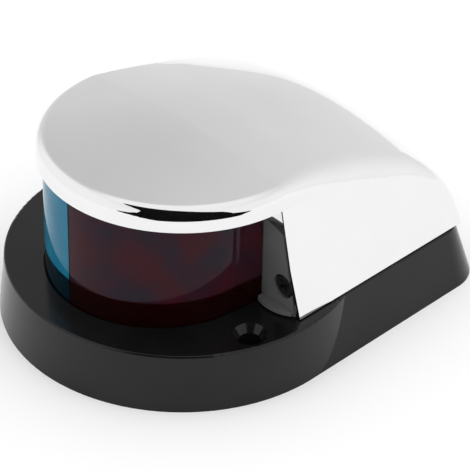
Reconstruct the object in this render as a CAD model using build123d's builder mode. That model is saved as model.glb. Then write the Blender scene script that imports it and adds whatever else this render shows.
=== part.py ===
from build123d import *
import os
from math import sqrt

# Two-colour bow light. +Z is up, -Y is the bow, +X is the port side.
# The origin lies on the underside, in the middle of the base and under the cable outlet.

os.makedirs("parts", exist_ok=True)

# ---------------------------------------------------------------- driving sizes, in mm
nose_y = -9.15              # centre of the base's round front
base_height = 13.3
base_radius = 40.0          # round front of the base at the deck
base_radius_top = 38.5
base_rear = 58.3            # straight rear edge, behind the centre of the round front
base_rear_top = 53.3
base_side_lean = 0.279      # inward lean of the base's flat sides, mm per mm of height
side_taper = 0.026          # the sides close in towards the rear, mm per mm
base_wall = 3.0
top_plate = 3.0
pad_thickness = 2.0

screw_hole = 2.25           # radius of the deck screw holes
countersink = 3.6
front_hole = (32.3, nose_y - 10.2)
front_hole_starboard = (-30.0, nose_y - 10.2)   # a little further in than the port one
rear_hole = (22.0, nose_y + 43.0)
cable_radius = 2.5

lens_centre = nose_y - 6.8
lens_radius = 24.3
lens_radius_top = 24.0
lens_half_width = 25.0
lens_bottom = 12.2
lens_top = 38.0
lens_wall = 2.0

bulkhead_y = nose_y + 0.2   # front face of the black wall behind the lenses
bulkhead_thickness = 3.0
bulkhead_rear = bulkhead_y + bulkhead_thickness

hood_bottom = 13.65
hood_front = nose_y - 0.4   # front cut of the hood's side walls
hood_foot = 36.2            # half width of the hood at the top of the base
hood_lean = 0.233
hood_taper = 0.028
hood_wall = 1.2
roof_wall = 1.6
rim_bottom = 38.2
shoulder_z = 33.6           # top of the bulkhead beside the lens
shoulder_fall = 0.3         # it slopes down towards the hood's wall, mm per mm
return_turn = 0.36          # the roof's front return slants aft towards the wall, mm per mm
hood_screw_x = 30.9
hood_screw_z = 19.4

bulb_y = nose_y - 10.0
bulb_z = 24.5
bulb_radius = 5.0


def inner_wall(z):
    """Half width inside the hood at its front, at height z."""
    return hood_foot - hood_wall * 1.03 - hood_lean * (z - base_height)


def tapered_plan(half_width, start, rear, corner, taper=side_taper):
    """Four-sided plan with straight sides that close in, and two rounded rear corners."""
    half_rear = half_width - taper * (rear - nose_y)
    half_start = half_width - taper * (start - nose_y)
    with BuildSketch() as plan:
        with BuildLine():
            Polyline(
                (-half_start, start), (half_start, start), (half_rear, rear), (-half_rear, rear),
                close=True)
        make_face()
        fillet(plan.vertices().group_by(Axis.Y)[-1], radius=corner)
    return plan.sketch


# ---------------------------------------------------------------- base
screw_places = [
    front_hole, front_hole_starboard, rear_hole, (-rear_hole[0], rear_hole[1])]
stay_places = [(20.0, nose_y + 6.6), (-20.0, nose_y + 6.6)]

with BuildPart() as base:
    with Locations((0, nose_y, 0)):
        Cone(base_radius, base_radius_top, base_height, align=(Align.CENTER, Align.CENTER, Align.MIN))
    with BuildSketch(Plane.XY):
        add(tapered_plan(base_radius, nose_y + 0.5, nose_y + base_rear, 10.3))
    with BuildSketch(Plane.XY.offset(base_height)):
        add(tapered_plan(
            base_radius - base_side_lean * base_height, nose_y + 0.5, nose_y + base_rear_top, 6.5))
    loft()
    fillet(base.edges().group_by(Axis.Z)[-1], radius=0.5)
    # cavity and the recess for the foam pad
    with BuildSketch(Plane.XY.offset(pad_thickness)):
        with Locations((0, nose_y)):
            Circle(base_radius_top - base_wall - 0.4)
        add(tapered_plan(base_radius - 6.6, nose_y, nose_y + base_rear_top - 3.4, 5.0))
    extrude(amount=base_height - top_plate - pad_thickness, mode=Mode.SUBTRACT)
    with BuildSketch(Plane.XY):
        with Locations((0, nose_y)):
            Circle(base_radius - 2.4)
        add(tapered_plan(base_radius - 2.4, nose_y, nose_y + base_rear - 3.2, 8.0))
    extrude(amount=pad_thickness, mode=Mode.SUBTRACT)
    # columns for the deck screws and for the two screws that hold the bulkhead
    with BuildSketch(Plane.XY.offset(pad_thickness)):
        with Locations(*screw_places):
            Circle(4.6)
    extrude(amount=base_height - top_plate - pad_thickness)
    # locating rails inside the hood's walls
    for side in (1, -1):
        with BuildSketch(Plane.XY.offset(base_height)):
            with BuildLine():
                Polyline(
                    (side * 34.0, nose_y + 9), (side * 33.0, nose_y + 42),
                    (side * 31.5, nose_y + 42), (side * 32.5, nose_y + 9), close=True)
            make_face()
        extrude(amount=2.0)
    with Locations(*[(x, y, base_height) for x, y in screw_places]):
        CounterSinkHole(screw_hole, countersink, depth=base_height)
    with Locations(*[(x, y, base_height) for x, y in stay_places]):
        Hole(1.6, depth=top_plate + 0.1)
    with Locations((0, 0, base_height)):
        Hole(4.0, depth=top_plate + 0.1)


# ---------------------------------------------------------------- lenses and their seal
def lens_plan(radius, half_width, rear, grow):
    """U-shaped plan: round front, nearly flat sides that open a little to the rear."""
    r = radius + grow
    w = half_width + grow
    with BuildSketch() as plan:
        with BuildLine():
            ThreePointArc((-r, lens_centre), (0, lens_centre - r), (r, lens_centre))
            Polyline((r, lens_centre), (w, rear), (-w, rear), (-r, lens_centre))
        make_face()
    return plan.sketch


lens_rear = bulkhead_y - 0.3

with BuildPart() as lens_shell:
    with BuildSketch(Plane.XY.offset(lens_bottom)):
        add(lens_plan(lens_radius, lens_half_width, lens_rear, 0))
    with BuildSketch(Plane.XY.offset(lens_top)):
        add(lens_plan(lens_radius_top, lens_half_width - 0.3, lens_rear, 0))
    loft()
    with BuildSketch(Plane.XY.offset(lens_bottom)):
        add(lens_plan(lens_radius, lens_half_width, lens_rear, -lens_wall))
    with BuildSketch(Plane.XY.offset(lens_top - 1.6)):
        add(lens_plan(lens_radius_top, lens_half_width - 0.3, lens_rear, -lens_wall))
    loft(mode=Mode.SUBTRACT)

with BuildPart() as lens_port:
    add(lens_shell.part)
    with Locations((0.06, 0, 0)):
        Box(60, 120, 100, align=(Align.MIN, Align.CENTER, Align.CENTER), mode=Mode.INTERSECT)

with BuildPart() as lens_starboard:
    add(lens_shell.part)
    with Locations((-0.06, 0, 0)):
        Box(60, 120, 100, align=(Align.MAX, Align.CENTER, Align.CENTER), mode=Mode.INTERSECT)

with BuildPart() as seal_groove:
    with BuildSketch(Plane.XY.offset(lens_bottom - 0.9)):
        add(lens_plan(lens_radius, lens_half_width, lens_rear, 0.35))
    extrude(amount=base_height - lens_bottom + 0.9)
    with BuildSketch(Plane.XY.offset(lens_bottom - 0.9)):
        add(lens_plan(lens_radius, lens_half_width, lens_rear, -lens_wall - 0.35))
    extrude(amount=base_height - lens_bottom + 0.9, mode=Mode.SUBTRACT)

with BuildPart() as lens_gasket:
    with BuildSketch(Plane.XY.offset(lens_bottom - 0.9)):
        add(lens_plan(lens_radius, lens_half_width, lens_rear, 0.25))
    extrude(amount=0.9)
    with BuildSketch(Plane.XY.offset(lens_bottom - 0.9)):
        add(lens_plan(lens_radius, lens_half_width, lens_rear, -lens_wall - 0.25))
    extrude(amount=0.9, mode=Mode.SUBTRACT)

with base:
    add(seal_groove.part, mode=Mode.SUBTRACT)

# ---------------------------------------------------------------- foam pad and cable grommet
with BuildPart() as deck_gasket:
    with BuildSketch(Plane.XY):
        with Locations((0, nose_y)):
            Circle(base_radius - 2.6)
        add(tapered_plan(base_radius - 2.6, nose_y, nose_y + base_rear - 3.4, 7.8))
        with Locations(*screw_places):
            Circle(screw_hole + 0.4, mode=Mode.SUBTRACT)
        Circle(7.0, mode=Mode.SUBTRACT)
    extrude(amount=pad_thickness)

with BuildPart() as cable_grommet:
    with BuildSketch(Plane.XY.offset(base_height - top_plate - 1.0)):
        Circle(5.6)
    extrude(amount=1.0)
    with BuildSketch(Plane.XY.offset(base_height - top_plate)):
        Circle(4.0)
    extrude(amount=top_plate)
    with BuildSketch(Plane.XY.offset(base_height)):
        Circle(5.4)
    extrude(amount=1.0)
    fillet(cable_grommet.edges().group_by(Axis.Z)[-1], radius=0.4)
    Hole(cable_radius)

# ---------------------------------------------------------------- hood
# Stations along the hood. Each is a flat section that stands on the deck line and leans
# further back towards the rear: foot, roof point (distance aft, height), then how far below
# the roof the rim's face starts, its lean, the fall of the crown and the corner's radius.
front_station = 2   # the station at the front cut
stations = [
    (-9.0, (-9.0, 45.52), 7.6, 0.013, 2.80, 2.5),
    (-4.7, (-4.7, 45.69), 7.7, 0.013, 2.80, 2.5),
    (-0.4, (-0.4, 45.75), 7.75, 0.013, 2.80, 2.5),
    (4.0, (5.0, 45.5), 7.8, 0.060, 2.95, 3.7),
    (8.5, (10.5, 45.0), 8.0, 0.110, 3.15, 5.0),
    (13.0, (16.0, 44.15), 8.3, 0.160, 3.40, 6.2),
    (17.5, (22.0, 43.1), 8.9, 0.200, 3.80, 7.2),
    (21.5, (28.0, 41.7), 9.6, 0.220, 4.30, 7.6),
    (25.5, (33.5, 40.1), 9.9, 0.220, 4.70, 7.3),
    (29.5, (38.5, 38.1), 9.8, 0.200, 4.80, 6.6),
    (33.5, (43.0, 35.1), 9.2, 0.160, 4.60, 5.4),
    (37.0, (46.8, 31.3), 8.2, 0.110, 4.00, 4.2),
    (40.5, (49.8, 26.5), 7.2, 0.070, 3.10, 3.5),
    (43.5, (51.8, 20.8), 6.2, 0.040, 2.10, 3.2),
    (46.0, (53.0, 14.0), 5.4, 0.030, 1.30, 3.6),
    (48.0, (54.6, 0.0), 5.2, 0.026, 0.80, 4.2),
]


def hood_section(station, inset):
    """Cross-section of the hood: leaning sides, the rim's face, round corners, crowned roof."""
    foot_y, (roof_y, roof_z), face_depth, face_lean, crown, edge = station
    rise = sqrt((roof_y - foot_y)**2 + roof_z**2)
    upright = roof_z / rise
    tilt = (roof_y - foot_y) / rise
    lean = hood_lean * upright + hood_taper * tilt
    foot = hood_foot + hood_lean * base_height - hood_taper * max(foot_y, hood_front - nose_y) - inset
    roof = rise - inset
    rim_start = max(roof - face_depth, 0.2)
    start_x = foot - lean * rim_start
    corner_v = roof - crown
    corner_x = start_x - min(face_lean, lean - 0.001) * (corner_v - rim_start)
    plane = Plane(
        origin=(0, nose_y + foot_y, 0), x_dir=(1, 0, 0), z_dir=(0, -upright, tilt))
    with BuildSketch(plane) as section:
        with BuildLine():
            Polyline(
                (corner_x, corner_v), (start_x, rim_start), (foot, 0), (-foot, 0),
                (-start_x, rim_start), (-corner_x, corner_v))
            ThreePointArc((-corner_x, corner_v), (0, roof), (corner_x, corner_v))
        make_face()
        fillet(section.vertices().sort_by(Axis.Y)[-2:], radius=edge - 0.9 * inset)
    return section.sketch


def hood_body(inset):
    """Body of the hood behind the front cut, drawn in by the wall for the hollow."""
    return loft([hood_section(station, inset) for station in stations], mode=Mode.PRIVATE)


def front_disc(inset, bottom):
    """Front half of the roof: the section at the front cut, turned about an upright axis."""
    with BuildPart() as disc:
        half = split(
            hood_section(stations[front_station], inset), bisect_by=Plane.YZ, keep=Keep.TOP,
            mode=Mode.PRIVATE)
        half = split(
            half, bisect_by=Plane.XY.offset(bottom), keep=Keep.TOP, mode=Mode.PRIVATE)
        revolve(half, axis=Axis((0, hood_front, 0), (0, 0, -1)), revolution_arc=180)
    return disc.part


with BuildPart() as hood_outer:
    add(hood_body(0))
    split(bisect_by=Plane.XZ.offset(-hood_front), keep=Keep.BOTTOM)
    add(front_disc(0, rim_bottom))
    split(bisect_by=Plane.XY.offset(hood_bottom), keep=Keep.TOP)


# lugs behind the bulkhead, slotted from below so they drop over the two hood screws
lug_front = bulkhead_rear + 0.1
lug_thickness = 2.0
return_in = 25.4
return_out = 34.6
return_y = hood_front + 0.5
return_y_out = return_y + return_turn * (return_out - return_in)
return_z_out = shoulder_z + 0.2 - shoulder_fall * (return_out - return_in)

with BuildPart() as hood_inserts:
    for side in (1, -1):
        with BuildSketch(Plane.XZ.offset(-lug_front)):
            with Locations((side * 31.5, 21.5)):
                Rectangle(11.0, 12.0)
            with Locations((side * hood_screw_x, hood_screw_z)):
                Circle(1.8, mode=Mode.SUBTRACT)
            with Locations((side * hood_screw_x, hood_screw_z - 5)):
                Rectangle(3.6, 10.0, mode=Mode.SUBTRACT)
        extrude(amount=-lug_thickness)
        # front return of the roof beside the lens: slanting aft, with a sloping lower edge
        with BuildSketch(Plane.XY.offset(shoulder_z - 4.0)):
            with BuildLine():
                Polyline(
                    (side * return_in, return_y), (side * return_out, return_y_out),
                    (side * return_out, return_y_out + 1.2), (side * return_in, return_y + 1.2),
                    close=True)
            make_face()
        extrude(amount=rim_bottom - shoulder_z + 10.0)
        with BuildSketch(Plane.XZ.offset(-return_y + 1)):
            with BuildLine():
                Polyline(
                    (side * return_in, shoulder_z + 0.2), (side * return_out, return_z_out),
                    (side * return_out, shoulder_z - 5), (side * return_in, shoulder_z - 5),
                    close=True)
            make_face()
        extrude(amount=-7.0, mode=Mode.SUBTRACT)

with BuildPart() as hood_hollow:
    add(hood_body(hood_wall))
    split(bisect_by=Plane.XZ.offset(-hood_front + 0.1), keep=Keep.BOTTOM)
    add(front_disc(roof_wall, rim_bottom - 1))
    add(hood_inserts.part, mode=Mode.SUBTRACT)
    # the side walls thin down to a sharp front edge
    for side in (1, -1):
        for z in (8.0, rim_bottom):
            with BuildSketch(Plane.XY.offset(z)):
                with BuildLine():
                    x = side * inner_wall(z)
                    Polyline(
                        (x - side * 0.5, hood_front - 0.02), (x + side * 0.9, hood_front - 0.02),
                        (x - side * 0.5, hood_front + 1.38), close=True)
                make_face()
        loft()

with BuildPart() as hood:
    add(hood_outer.part)
    add(hood_hollow.part, mode=Mode.SUBTRACT)
    # the front edges of the side walls lean back a little towards the deck
    with BuildSketch(Plane.YZ.offset(-base_radius)):
        with BuildLine():
            Polyline(
                (hood_front - 1, hood_bottom - 1), (hood_front + 0.85, hood_bottom - 1),
                (hood_front, 25.0), (hood_front - 1, 25.0), close=True)
        make_face()
    extrude(amount=2 * base_radius, mode=Mode.SUBTRACT)

with BuildPart() as hood_gasket:
    with BuildSketch(Plane.XY.offset(base_height)):
        add(tapered_plan(
            hood_foot - 0.3, hood_front + 1.6, nose_y + base_rear_top - 0.4, 6.0, hood_taper))
        add(tapered_plan(
            hood_foot - 1.2, hood_front, nose_y + base_rear_top - 1.3, 5.2, hood_taper),
            mode=Mode.SUBTRACT)
    extrude(amount=hood_bottom - base_height)

# ---------------------------------------------------------------- bulkhead behind the lenses
shoulder_low = shoulder_z - 5.2 * shoulder_fall
pocket_depth = 1.5
hood_screw_radius = 1.5
rivet_x = 12.0
rivet_z = 24.5
rivet_radius = 1.2
terminal_z = 18.5
terminal_radius = 1.4

with BuildPart() as bulkhead:
    for side in (1, -1):
        with BuildSketch(Plane.XZ.offset(-bulkhead_y)):
            with BuildLine():
                ThreePointArc(
                    (side * (inner_wall(13.5) - 0.3), 13.5), (side * 30.5, 13.8),
                    (side * 24.5, 14.3))
                Polyline(
                    (side * 24.5, 14.3), (side * 24.5, base_height), (0, base_height), (0, lens_top),
                    (side * 25.1, lens_top), (side * 25.1, shoulder_z),
                    (side * (inner_wall(shoulder_low) - 0.3), shoulder_low),
                    (side * (inner_wall(13.5) - 0.3), 13.5))
            make_face()
        extrude(amount=-bulkhead_thickness)
        # bowed foot in front of the wall, just clear of the base
        with BuildSketch(Plane.XY.offset(base_height + 0.5)):
            with BuildLine():
                ThreePointArc(
                    (side * 25.5, nose_y - 1.6), (side * 29.0, nose_y - 2.2),
                    (side * 34.2, nose_y - 0.5))
                Polyline(
                    (side * 34.2, nose_y - 0.5), (side * 34.2, bulkhead_y + 1),
                    (side * 25.5, bulkhead_y + 1), (side * 25.5, nose_y - 1.6))
            make_face()
        extrude(amount=1.1)
    # feet that take the screws from below
    with Locations(*[(x, bulkhead_rear, base_height) for x in (20.0, -20.0)]):
        Box(8.0, 6.8, 7.0, align=(Align.CENTER, Align.MIN, Align.MIN))
    with Locations(*[Location((x, y, base_height), (180, 0, 0)) for x, y in stay_places]):
        Hole(1.5, depth=5.5)
    # pockets and holes for the two hood screws, then rivets and terminal screws
    with BuildSketch(Plane.XZ.offset(-bulkhead_y)):
        with Locations((hood_screw_x, hood_screw_z), (-hood_screw_x, hood_screw_z)):
            Circle(2.75)
    extrude(amount=-pocket_depth, mode=Mode.SUBTRACT)
    with BuildSketch(Plane.XZ.offset(-bulkhead_y)):
        with Locations((hood_screw_x, hood_screw_z), (-hood_screw_x, hood_screw_z)):
            Circle(hood_screw_radius + 0.15)
        with Locations((rivet_x, rivet_z), (-rivet_x, rivet_z)):
            Circle(rivet_radius)
    extrude(amount=-bulkhead_thickness, mode=Mode.SUBTRACT)
    with BuildSketch(Plane.XZ.offset(-bulkhead_rear)):
        with Locations((rivet_x, terminal_z), (-rivet_x, terminal_z)):
            Circle(terminal_radius)
    extrude(amount=2.4, mode=Mode.SUBTRACT)

# ---------------------------------------------------------------- fasteners
with BuildPart() as bulkhead_screws:
    for x, y in stay_places:
        with BuildSketch(Plane.XY.offset(base_height - top_plate - 1.9)):
            with Locations((x, y)):
                Circle(2.8)
        extrude(amount=1.9)
        with BuildSketch(Plane.XY.offset(base_height - top_plate)):
            with Locations((x, y)):
                Circle(1.5)
        extrude(amount=top_plate + 5.0)
    fillet(bulkhead_screws.edges().group_by(Axis.Z)[0], radius=0.6)
    with BuildSketch(Plane.XY.offset(base_height - top_plate - 1.9)):
        for x, y in stay_places:
            with Locations((x, y)):
                Rectangle(3.2, 0.7)
                Rectangle(0.7, 3.2)
    extrude(amount=1.0, mode=Mode.SUBTRACT)

head_y = bulkhead_y + pocket_depth
nut_y = lug_front + lug_thickness + 0.1
with BuildPart() as hood_screws:
    for side in (1, -1):
        with BuildSketch(Plane.XZ.offset(-head_y)):
            with Locations((side * hood_screw_x, hood_screw_z)):
                Circle(2.55)
        extrude(amount=1.2)
        with BuildSketch(Plane.XZ.offset(-head_y)):
            with Locations((side * hood_screw_x, hood_screw_z)):
                Circle(hood_screw_radius)
        extrude(amount=-(nut_y + 3.2 - head_y + 0.8))
    fillet(hood_screws.edges().group_by(Axis.Y)[0], radius=0.5)
    with BuildSketch(Plane.XZ.offset(-(head_y - 1.2))):
        with Locations((hood_screw_x, hood_screw_z), (-hood_screw_x, hood_screw_z)):
            Rectangle(3.0, 0.7, rotation=35)
            Rectangle(0.7, 3.0, rotation=35)
    extrude(amount=-0.8, mode=Mode.SUBTRACT)

with BuildPart() as hood_nuts:
    for side in (1, -1):
        with BuildSketch(Plane.XZ.offset(-nut_y)):
            with Locations((side * (hood_screw_x - 1.0), hood_screw_z)):
                Rectangle(5.8, 3.6)
            with Locations((side * hood_screw_x, hood_screw_z)):
                Circle(hood_screw_radius, mode=Mode.SUBTRACT)
        extrude(amount=-3.2)

# ---------------------------------------------------------------- bulb contacts and terminals
contact_thickness = 0.6
arm_x = 16.2
arm_z = (19.5, 29.0)
cone_clearance = 3.0


def contact(side):
    """Brass strip riveted to the bulkhead, bent forward, with an open-topped seat for the bulb."""
    with BuildPart() as strip:
        with BuildSketch(Plane.XZ.offset(-bulkhead_y)):
            with Locations((side * (arm_x + contact_thickness + 8.5) / 2, (arm_z[0] + arm_z[1]) / 2)):
                Rectangle(arm_x + contact_thickness - 8.5, arm_z[1] - arm_z[0])
            with Locations((side * rivet_x, rivet_z)):
                Circle(rivet_radius, mode=Mode.SUBTRACT)
        extrude(amount=contact_thickness)
        with BuildSketch(Plane.YZ.offset(side * arm_x)):
            with BuildLine():
                Polyline(
                    (bulkhead_y, arm_z[0]), (bulb_y - 4.6, arm_z[0]), (bulb_y - 4.6, arm_z[1]),
                    (bulkhead_y, arm_z[1]), close=True)
            make_face()
            with Locations((bulb_y, bulb_z)):
                Circle(cone_clearance, mode=Mode.SUBTRACT)
            with Locations((bulb_y, bulb_z + 5)):
                Rectangle(2 * cone_clearance, 10, mode=Mode.SUBTRACT)
        extrude(amount=side * contact_thickness)
        fillet(
            strip.edges().filter_by(Axis.X).group_by(Axis.Y)[0], radius=1.0)
    return strip.part


with BuildPart() as contact_port:
    add(contact(1))

with BuildPart() as contact_starboard:
    add(contact(-1))

tab_thickness = 0.8
with BuildPart() as contact_rivets:
    for side in (1, -1):
        place = (side * rivet_x, rivet_z)
        with BuildSketch(Plane.XZ.offset(-(bulkhead_y - contact_thickness))):
            with Locations(place):
                Circle(rivet_radius)
        extrude(amount=-(bulkhead_thickness + contact_thickness + tab_thickness))
        with BuildSketch(Plane.XZ.offset(-(bulkhead_y - contact_thickness))):
            with Locations(place):
                Circle(2.1)
        extrude(amount=0.8)
        with BuildSketch(Plane.XZ.offset(-(bulkhead_rear + tab_thickness))):
            with Locations(place):
                Circle(2.1)
        extrude(amount=-0.8)
    fillet(contact_rivets.edges().group_by(Axis.Y)[0], radius=0.5)
    fillet(contact_rivets.edges().group_by(Axis.Y)[-1], radius=0.5)

with BuildPart() as terminal_tabs:
    with BuildSketch(Plane.XZ.offset(-bulkhead_rear)):
        for side in (1, -1):
            with Locations((side * rivet_x, (rivet_z + terminal_z) / 2)):
                SlotCenterToCenter(rivet_z - terminal_z, 7.0, rotation=90)
            with Locations((side * rivet_x, rivet_z)):
                Circle(rivet_radius, mode=Mode.SUBTRACT)
            with Locations((side * rivet_x, terminal_z)):
                Circle(terminal_radius, mode=Mode.SUBTRACT)
    extrude(amount=-tab_thickness)

with BuildPart() as terminal_screws:
    for side in (1, -1):
        with BuildSketch(Plane.XZ.offset(-(bulkhead_rear + tab_thickness))):
            with Locations((side * rivet_x, terminal_z)):
                Circle(2.6)
        extrude(amount=-1.8)
        with BuildSketch(Plane.XZ.offset(-(bulkhead_rear + tab_thickness))):
            with Locations((side * rivet_x, terminal_z)):
                Circle(terminal_radius)
        extrude(amount=tab_thickness + 2.2)
    fillet(terminal_screws.edges().group_by(Axis.Y)[-1], radius=0.6)
    with BuildSketch(Plane.XZ.offset(-(bulkhead_rear + tab_thickness + 1.8))):
        with Locations((rivet_x, terminal_z), (-rivet_x, terminal_z)):
            Rectangle(5.6, 0.8, rotation=20)
    extrude(amount=0.8, mode=Mode.SUBTRACT)

# ---------------------------------------------------------------- double-ended bulb
bulb_axis = Axis((0, bulb_y, bulb_z), (1, 0, 0))
bulb_plane = Plane(origin=(0, bulb_y, bulb_z), x_dir=(1, 0, 0), z_dir=(0, -1, 0))
neck = 3.0
glass = 0.6

with BuildPart() as bulb_glass:
    with BuildSketch(bulb_plane):
        with BuildLine():
            Polyline(
                (-13, neck), (-12, neck), (-10.2, bulb_radius), (10.2, bulb_radius), (12, neck),
                (13, neck), (13, neck - glass), (11.8, neck - glass), (10, bulb_radius - glass),
                (-10, bulb_radius - glass), (-11.8, neck - glass), (-13, neck - glass), close=True)
        make_face()
    revolve(axis=bulb_axis)
    fillet(bulb_glass.edges().filter_by(GeomType.CIRCLE).filter_by(
        lambda e: abs(e.radius - bulb_radius) < 0.01), radius=1.2)

with BuildPart() as bulb_caps:
    for side in (1, -1):
        with BuildSketch(bulb_plane):
            with BuildLine():
                Polyline(
                    (side * 12.1, neck), (side * 12.1, 3.6), (side * 15.5, 3.6), (side * 18, 1.2),
                    (side * 18, 0), (side * 13, 0), (side * 13, neck), close=True)
            make_face()
        revolve(axis=bulb_axis)

with BuildPart() as bulb_leads:
    for side in (1, -1):
        with BuildSketch(Plane.YZ.offset(side * 6.0)):
            with Locations((bulb_y, bulb_z)):
                Circle(0.3)
        extrude(amount=side * 7.0)

with BuildPart() as bulb_filament:
    with BuildSketch(Plane.YZ.offset(-6.0)):
        with Locations((bulb_y, bulb_z)):
            Circle(0.45)
    extrude(amount=12.0)

# ---------------------------------------------------------------- parts out
base.part.label = "base"
export_step(base.part, "parts/base.step")
deck_gasket.part.label = "deck_gasket"
export_step(deck_gasket.part, "parts/deck_gasket.step")
cable_grommet.part.label = "cable_grommet"
export_step(cable_grommet.part, "parts/cable_grommet.step")
lens_gasket.part.label = "lens_gasket"
export_step(lens_gasket.part, "parts/lens_gasket.step")
lens_port.part.label = "lens_port"
export_step(lens_port.part, "parts/lens_port.step")
lens_starboard.part.label = "lens_starboard"
export_step(lens_starboard.part, "parts/lens_starboard.step")
bulkhead.part.label = "bulkhead"
export_step(bulkhead.part, "parts/bulkhead.step")
bulkhead_screws.part.label = "bulkhead_screws"
export_step(bulkhead_screws.part, "parts/bulkhead_screws.step")
hood.part.label = "hood"
export_step(hood.part, "parts/hood.step")
hood_gasket.part.label = "hood_gasket"
export_step(hood_gasket.part, "parts/hood_gasket.step")
hood_screws.part.label = "hood_screws"
export_step(hood_screws.part, "parts/hood_screws.step")
hood_nuts.part.label = "hood_nuts"
export_step(hood_nuts.part, "parts/hood_nuts.step")
contact_port.part.label = "contact_port"
export_step(contact_port.part, "parts/contact_port.step")
contact_starboard.part.label = "contact_starboard"
export_step(contact_starboard.part, "parts/contact_starboard.step")
contact_rivets.part.label = "contact_rivets"
export_step(contact_rivets.part, "parts/contact_rivets.step")
terminal_tabs.part.label = "terminal_tabs"
export_step(terminal_tabs.part, "parts/terminal_tabs.step")
terminal_screws.part.label = "terminal_screws"
export_step(terminal_screws.part, "parts/terminal_screws.step")
bulb_glass.part.label = "bulb_glass"
export_step(bulb_glass.part, "parts/bulb_glass.step")
bulb_caps.part.label = "bulb_caps"
export_step(bulb_caps.part, "parts/bulb_caps.step")
bulb_leads.part.label = "bulb_leads"
export_step(bulb_leads.part, "parts/bulb_leads.step")
bulb_filament.part.label = "bulb_filament"
export_step(bulb_filament.part, "parts/bulb_filament.step")
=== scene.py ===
import math

import bpy
from mathutils import Matrix, Vector

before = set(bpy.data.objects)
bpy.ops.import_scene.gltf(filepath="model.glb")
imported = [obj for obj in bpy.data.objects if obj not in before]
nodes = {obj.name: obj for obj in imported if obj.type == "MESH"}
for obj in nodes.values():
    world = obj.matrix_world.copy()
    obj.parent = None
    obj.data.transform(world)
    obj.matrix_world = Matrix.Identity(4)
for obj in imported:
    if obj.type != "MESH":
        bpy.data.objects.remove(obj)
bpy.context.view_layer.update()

# ---------------------------------------------------------------- camera
CAMERA_AT = Vector((0.2489, -0.2313, 0.2532))
LOOKS_AT = Vector((0.01164, -0.00452, 0.020))
ROLL = math.radians(1.403)
FOCAL_MM = 145.0


def add_camera():
    back = (CAMERA_AT - LOOKS_AT).normalized()
    right = Vector((0, 0, 1)).cross(back).normalized()
    up = back.cross(right)
    rolled_right = right * math.cos(ROLL) + up * math.sin(ROLL)
    rolled_up = up * math.cos(ROLL) - right * math.sin(ROLL)
    turn = Matrix((rolled_right, rolled_up, back)).transposed().to_4x4()
    data = bpy.data.cameras.new("camera")
    data.lens = FOCAL_MM
    data.sensor_width = 36.0
    data.clip_start = 0.01
    data.clip_end = 20.0
    camera = bpy.data.objects.new("camera", data)
    camera.matrix_world = Matrix.Translation(CAMERA_AT) @ turn
    bpy.context.scene.collection.objects.link(camera)
    bpy.context.scene.camera = camera


add_camera()
bpy.context.scene.view_settings.view_transform = "Standard"


# ---------------------------------------------------------------- materials
def new_material(name):
    """A new material. Returns it with its nodes, its links and its Principled shader."""
    material = bpy.data.materials.new(name)
    material.use_nodes = True
    tree = material.node_tree
    shader = tree.nodes["Principled BSDF"]
    return material, tree.nodes, tree.links, shader


def noise(tree_nodes, links, scale, detail=3.0):
    """Noise in the object's own metres. Returns the texture node."""
    coords = tree_nodes.new("ShaderNodeTexCoord")
    texture = tree_nodes.new("ShaderNodeTexNoise")
    texture.inputs["Scale"].default_value = scale
    texture.inputs["Detail"].default_value = detail
    links.new(coords.outputs["Object"], texture.inputs["Vector"])
    return texture


def vary(tree_nodes, links, source, low, high):
    """Maps a 0 to 1 value to low..high."""
    ramp = tree_nodes.new("ShaderNodeMapRange")
    ramp.inputs["From Min"].default_value = 0.3
    ramp.inputs["From Max"].default_value = 0.7
    ramp.inputs["To Min"].default_value = low
    ramp.inputs["To Max"].default_value = high
    links.new(source, ramp.inputs["Value"])
    return ramp.outputs["Result"]


def blend_colours(tree_nodes, links, source, first, second):
    ramp = tree_nodes.new("ShaderNodeValToRGB")
    ramp.color_ramp.elements[0].position = 0.35
    ramp.color_ramp.elements[0].color = (*first, 1)
    ramp.color_ramp.elements[1].position = 0.65
    ramp.color_ramp.elements[1].color = (*second, 1)
    links.new(source, ramp.inputs["Fac"])
    return ramp.outputs["Color"]


def bump(tree_nodes, links, shader, source, strength, depth):
    node = tree_nodes.new("ShaderNodeBump")
    node.inputs["Strength"].default_value = strength
    node.inputs["Distance"].default_value = depth
    links.new(source, node.inputs["Height"])
    links.new(node.outputs["Normal"], shader.inputs["Normal"])


def surface(name, dark, light, rough, grain, depth, metallic=0.0, patch=60.0, strength=0.4):
    """A finished opaque surface: patchy colour and roughness, and a fine grain."""
    material, tree_nodes, links, shader = new_material(name)
    patches = noise(tree_nodes, links, patch)
    fine = noise(tree_nodes, links, grain, 4.0)
    shader.inputs["Metallic"].default_value = metallic
    colour = blend_colours(tree_nodes, links, patches.outputs["Fac"], dark, light)
    links.new(colour, shader.inputs["Base Color"])
    links.new(
        vary(tree_nodes, links, patches.outputs["Fac"], *rough), shader.inputs["Roughness"])
    bump(tree_nodes, links, shader, fine.outputs["Fac"], strength, depth)
    return material, shader


def clear_plastic(name, rough):
    """Clear moulded plastic or glass, patchy in gloss. The caller gives it a colour."""
    material, tree_nodes, links, shader = new_material(name)
    patches = noise(tree_nodes, links, 90.0)
    fine = noise(tree_nodes, links, 900.0)
    links.new(
        vary(tree_nodes, links, patches.outputs["Fac"], *rough), shader.inputs["Roughness"])
    shader.inputs["Transmission Weight"].default_value = 1.0
    bump(tree_nodes, links, shader, fine.outputs["Fac"], 0.05, 0.00002)
    return material, tree_nodes, links, shader, patches


def bulb_envelope(name, dark, light, rough):
    """The bulb's clear glass, with a faint patchy tint."""
    material, tree_nodes, links, shader, patches = clear_plastic(name, rough)
    links.new(
        blend_colours(tree_nodes, links, patches.outputs["Fac"], dark, light),
        shader.inputs["Base Color"])
    shader.inputs["IOR"].default_value = 1.49
    return material


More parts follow.
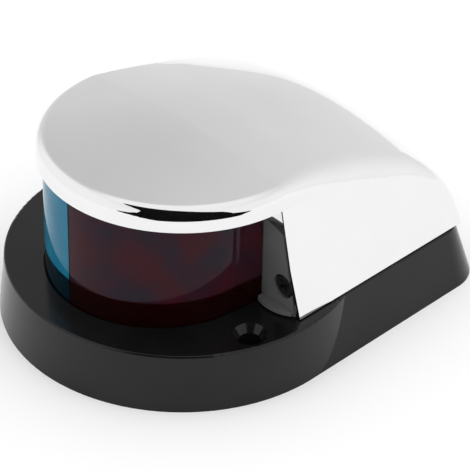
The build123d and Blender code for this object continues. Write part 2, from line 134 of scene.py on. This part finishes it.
def lens_plastic(name, lower_band_tint_and_shade, dark, light, foot_haze, haze, gloss):
    """Lens plastic: a clear lower band up to LENS_FOOT_TOP in its own tint, painted darker on the
    green lens as shade where the black base is reflected, and above it a zone whose inner side is
    ribbed and looks hazy.
    """
    material, tree_nodes, links, shader, _ = clear_plastic(name, (0.03, 0.06))
    coords = tree_nodes.new("ShaderNodeTexCoord")
    split = tree_nodes.new("ShaderNodeSeparateXYZ")
    links.new(coords.outputs["Object"], split.inputs["Vector"])
    rise = tree_nodes.new("ShaderNodeMapRange")
    rise.inputs["From Min"].default_value = LENS_FOOT_TOP - 0.0002
    rise.inputs["From Max"].default_value = LENS_FOOT_TOP + 0.0002
    links.new(split.outputs["Z"], rise.inputs["Value"])
    # Noise patches between the dark and light colours. On the red lens the light colour is a clearer
    # red, so the patches are painted glints of the bulb inside. On the green lens they are lighter
    # patches.
    tone_and_glint_patches = noise(tree_nodes, links, 130.0, 5.0)
    optic = blend_colours(tree_nodes, links, tone_and_glint_patches.outputs["Fac"], dark, light)
    zone = tree_nodes.new("ShaderNodeMix")
    zone.data_type = "RGBA"
    # The lower band's tint: on the green lens it is darker, a painted shade band where the black base
    # is reflected.
    zone.inputs["A"].default_value = (*lower_band_tint_and_shade, 1)
    links.new(rise.outputs["Result"], zone.inputs["Factor"])
    links.new(optic, zone.inputs["B"])
    # the bonded joint between the two lenses shows as a dark line
    from_joint = tree_nodes.new("ShaderNodeMath")
    from_joint.operation = "ABSOLUTE"
    links.new(split.outputs["X"], from_joint.inputs[0])
    joint = tree_nodes.new("ShaderNodeMapRange")
    joint.inputs["From Min"].default_value = JOINT_WIDTH
    joint.inputs["From Max"].default_value = 1.6 * JOINT_WIDTH
    links.new(from_joint.outputs["Value"], joint.inputs["Value"])
    bonded = tree_nodes.new("ShaderNodeMix")
    bonded.data_type = "RGBA"
    bonded.inputs["A"].default_value = (0.002, 0.002, 0.003, 1)
    links.new(joint.outputs["Result"], bonded.inputs["Factor"])
    links.new(zone.outputs["Result"], bonded.inputs["B"])
    links.new(bonded.outputs["Result"], shader.inputs["Base Color"])
    clear = tree_nodes.new("ShaderNodeMapRange")
    clear.inputs["To Min"].default_value = 1.0 - foot_haze
    clear.inputs["To Max"].default_value = 1.0 - haze
    links.new(rise.outputs["Result"], clear.inputs["Value"])
    links.new(clear.outputs["Result"], shader.inputs["Transmission Weight"])
    shader.inputs["IOR"].default_value = LENS_IOR
    shader.inputs["Specular IOR Level"].default_value = gloss
    return material


LENS_FOOT_TOP = 0.0192
JOINT_WIDTH = 0.00016
LENS_IOR = 1.2   # low, so that the two thin walls bend the view little

base_plastic, base_shader = surface(
    "base_plastic", (0.0042, 0.0042, 0.0046), (0.0075, 0.0075, 0.008), (0.10, 0.16), 5200.0, 0.00002)
base_shader.inputs["Specular IOR Level"].default_value = 0.29
bulkhead_plastic, bulkhead_shader = surface(
    "bulkhead_plastic", (0.096, 0.096, 0.097), (0.118, 0.118, 0.119), (0.34, 0.46), 4200.0, 0.00004)
bulkhead_shader.inputs["Specular IOR Level"].default_value = 0.35
rubber, _ = surface(
    "rubber", (0.008, 0.008, 0.008), (0.015, 0.015, 0.015), (0.55, 0.75), 2600.0, 0.00006)
foam, _ = surface(
    "foam", (0.012, 0.012, 0.012), (0.03, 0.03, 0.03), (0.8, 0.95), 1500.0, 0.0003, strength=0.8)
chrome, _ = surface(
    "chrome", (0.84, 0.84, 0.845), (0.87, 0.87, 0.875), (0.02, 0.045), 700.0, 0.000003,
    metallic=1.0, patch=45.0, strength=0.12)
brass, _ = surface(
    "brass", (0.66, 0.46, 0.18), (0.80, 0.60, 0.27), (0.2, 0.34), 1800.0, 0.00002, metallic=1.0)
plated_steel, _ = surface(
    "plated_steel", (0.55, 0.55, 0.54), (0.70, 0.70, 0.69), (0.18, 0.32), 1600.0, 0.00002,
    metallic=1.0)
black_steel, _ = surface(
    "black_steel", (0.006, 0.006, 0.007), (0.015, 0.015, 0.016), (0.3, 0.45), 1600.0, 0.00002)
tungsten, _ = surface(
    "tungsten", (0.18, 0.17, 0.16), (0.30, 0.29, 0.27), (0.35, 0.5), 6000.0, 0.00004, metallic=1.0)
# Its light colour is a clearer red: its noise patches are painted glints of the bulb inside.
red_lens = lens_plastic(
    "red_lens", (0.10, 0.012, 0.014), (0.036, 0.023, 0.040), (0.085, 0.016, 0.026), 0.07, 0.42, 0.5)
# Its lower band is painted darker, as shade where the lens reflects the black base.
green_lens = lens_plastic(
    "green_lens", (0.003, 0.08, 0.13), (0.012, 0.20, 0.34), (0.020, 0.26, 0.41), 0.10, 0.60, 0.5)
clear_glass = bulb_envelope(
    "clear_glass", (0.93, 0.95, 0.95), (0.98, 0.98, 0.98), (0.0, 0.02))

FINISHES = {
    "base": base_plastic,
    "bulkhead": bulkhead_plastic,
    "deck_gasket": foam,
    "cable_grommet": rubber,
    "lens_gasket": rubber,
    "hood_gasket": rubber,
    "hood": chrome,
    "hood_screws": black_steel,
    "bulkhead_screws": plated_steel,
    "hood_nuts": brass,
    "contact_port": brass,
    "contact_starboard": brass,
    "contact_rivets": brass,
    "terminal_tabs": brass,
    "terminal_screws": brass,
    "bulb_caps": plated_steel,
    "bulb_leads": plated_steel,
    "bulb_filament": tungsten,
    "bulb_glass": clear_glass,
    "lens_port": red_lens,
    "lens_starboard": green_lens,
}
for node_name, finish in FINISHES.items():
    for material_slot in nodes[node_name].material_slots:
        material_slot.material = finish


# ---------------------------------------------------------------- floor, room and lights
def card_material(name, colour, glow):
    material, _, _, shader = new_material(name)
    shader.inputs["Base Color"].default_value = (*colour, 1)
    shader.inputs["Roughness"].default_value = 0.9
    shader.inputs["Specular IOR Level"].default_value = 0.0
    shader.inputs["Emission Color"].default_value = (*colour, 1)
    shader.inputs["Emission Strength"].default_value = glow
    return material


def plane(name, size, place, facing, colour, glow=0.0):
    """A flat card that faces a point."""
    half_x = size[0] / 2
    half_y = size[1] / 2
    mesh = bpy.data.meshes.new(name)
    corners = [(-half_x, -half_y, 0), (half_x, -half_y, 0), (half_x, half_y, 0), (-half_x, half_y, 0)]
    mesh.from_pydata(corners, [], [(0, 1, 2, 3)])
    card = bpy.data.objects.new(name, mesh)
    bpy.context.scene.collection.objects.link(card)
    direction = Vector(facing) - Vector(place)
    card.matrix_world = (
        Matrix.Translation(place) @ direction.to_track_quat("Z", "Y").to_matrix().to_4x4())
    mesh.materials.append(card_material(name, colour, glow))


def area_light(name, size, place, facing, power, colour=(1, 1, 1)):
    data = bpy.data.lights.new(name, "AREA")
    data.shape = "RECTANGLE"
    data.size = size[0]
    data.size_y = size[1]
    data.energy = power
    data.color = colour
    lamp = bpy.data.objects.new(name, data)
    lamp.location = place
    direction = Vector(facing) - Vector(place)
    lamp.rotation_euler = direction.to_track_quat("-Z", "Y").to_euler()
    bpy.context.scene.collection.objects.link(lamp)
    return lamp


plane("floor", (6.0, 6.0), (0, 0, 0), (0, 0, 1), (0.95, 0.95, 0.95), glow=0.08)


# ---------------------------------------------------------------- room
def heading(azimuth, elevation):
    """Unit vector. Azimuth 0 is the bow and 90 is port, in degrees."""
    a = math.radians(azimuth)
    e = math.radians(elevation)
    return Vector((math.sin(a) * math.cos(e), -math.cos(a) * math.cos(e), math.sin(e)))


world = bpy.data.worlds.new("studio")
bpy.context.scene.world = world
world.use_nodes = True
sky_nodes = world.node_tree.nodes
sky_links = world.node_tree.links
sky_direction = sky_nodes.new("ShaderNodeTexCoord")


def sky_facing(direction):
    """How far the sky direction points along a given one."""
    facing = sky_nodes.new("ShaderNodeVectorMath")
    facing.operation = "DOT_PRODUCT"
    facing.inputs[1].default_value = direction
    sky_links.new(sky_direction.outputs["Generated"], facing.inputs[0])
    return facing.outputs["Value"]


def sky_step(source, start, stop):
    step = sky_nodes.new("ShaderNodeMapRange")
    step.interpolation_type = "SMOOTHSTEP"
    step.inputs["From Min"].default_value = start
    step.inputs["From Max"].default_value = stop
    sky_links.new(source, step.inputs["Value"])
    return step.outputs["Result"]


# White all round, but for a large soft grey area behind the object on the starboard side.
grey = sky_nodes.new("ShaderNodeValToRGB")
GREY_STOPS = [
    (0.0, 1.0), (0.30, 0.93), (0.55, 0.84), (0.72, 0.80), (0.87, 0.755), (0.95, 0.70), (1.0, 0.615)]
grey.color_ramp.elements[0].position = GREY_STOPS[0][0]
grey.color_ramp.elements[0].color = (GREY_STOPS[0][1],) * 3 + (1,)
grey.color_ramp.elements[1].position = GREY_STOPS[-1][0]
grey.color_ramp.elements[1].color = (GREY_STOPS[-1][1],) * 3 + (1,)
for position, level in GREY_STOPS[1:-1]:
    stop = grey.color_ramp.elements.new(position)
    stop.color = (level, level, level, 1)
sky_links.new(sky_facing(heading(-116, 42)), grey.inputs["Fac"])
overhead_white = sky_step(sky_facing(Vector((0, 0, 1))), 0.78, 0.93)
side_white = sky_step(sky_facing(heading(-50, 20)), 0.62, 0.86)
whiter = sky_nodes.new("ShaderNodeMath")
whiter.operation = "MAXIMUM"
sky_links.new(overhead_white, whiter.inputs[0])
sky_links.new(side_white, whiter.inputs[1])
tone = sky_nodes.new("ShaderNodeMix")
tone.data_type = "RGBA"
tone.inputs["B"].default_value = (1.0, 1.0, 1.0, 1)
sky_links.new(whiter.outputs["Value"], tone.inputs["Factor"])
sky_links.new(grey.outputs["Color"], tone.inputs["A"])
sky = sky_nodes["Background"]
sky_links.new(tone.outputs["Result"], sky.inputs["Color"])
sky.inputs["Strength"].default_value = 1.0

overhead = area_light("overhead", (0.8, 0.8), (0.1, 0.0, 0.9), (0, 0, 0), 1.2)
overhead.visible_glossy = False

# The dark shape that the hood's rim reflects, around the camera. Each column is an azimuth
# with its lowest and highest elevation, seen from the rim. It is bent down to lie just above
# the floor where it passes below the horizon.
RIM_AT = Vector((0.022, -0.030, 0.041))
SHADE_DISTANCE = 0.25
SHADE_STRIPS = [
    [(14, -20, 73), (25, -25, 73), (37, -28, 71), (48, -29, 69), (60, -30, 63), (70, -29, 53),
     (78, -28, 42), (83, -27, 33), (88, -26, 4), (95, -23, -6), (104, -18, -13)],
    [(-34, 63, 66), (-12, 57, 71), (2, 50, 73), (14, 38, 73)],
    [(0, -7, -2), (8, -13, 6), (14, -20, 18)]]


def shade_point(azimuth, elevation):
    reach = SHADE_DISTANCE
    if elevation < 0:
        reach = min(reach, 0.98 * RIM_AT.z / math.sin(math.radians(-elevation)))
    return RIM_AT + heading(azimuth, elevation) * reach


def add_shade(columns, steps=24):
    points = []
    faces = []
    for azimuth, low, high in columns:
        for step in range(steps + 1):
            points.append(shade_point(azimuth, low + (high - low) * step / steps))
    for column in range(len(columns) - 1):
        for step in range(steps):
            first = column * (steps + 1) + step
            faces.append((first, first + 1, first + steps + 2, first + steps + 1))
    mesh = bpy.data.meshes.new("shade")
    mesh.from_pydata(points, [], faces)
    mesh.materials.append(shade_material)
    shade = bpy.data.objects.new("shade", mesh)
    bpy.context.scene.collection.objects.link(shade)
    shade.visible_camera = False
    shade.visible_shadow = False
    shade.visible_diffuse = False
    shade.visible_transmission = False


shade_material = card_material("shade", (0.006, 0.006, 0.006), 0.0)
for strip in SHADE_STRIPS:
    add_shade(strip)
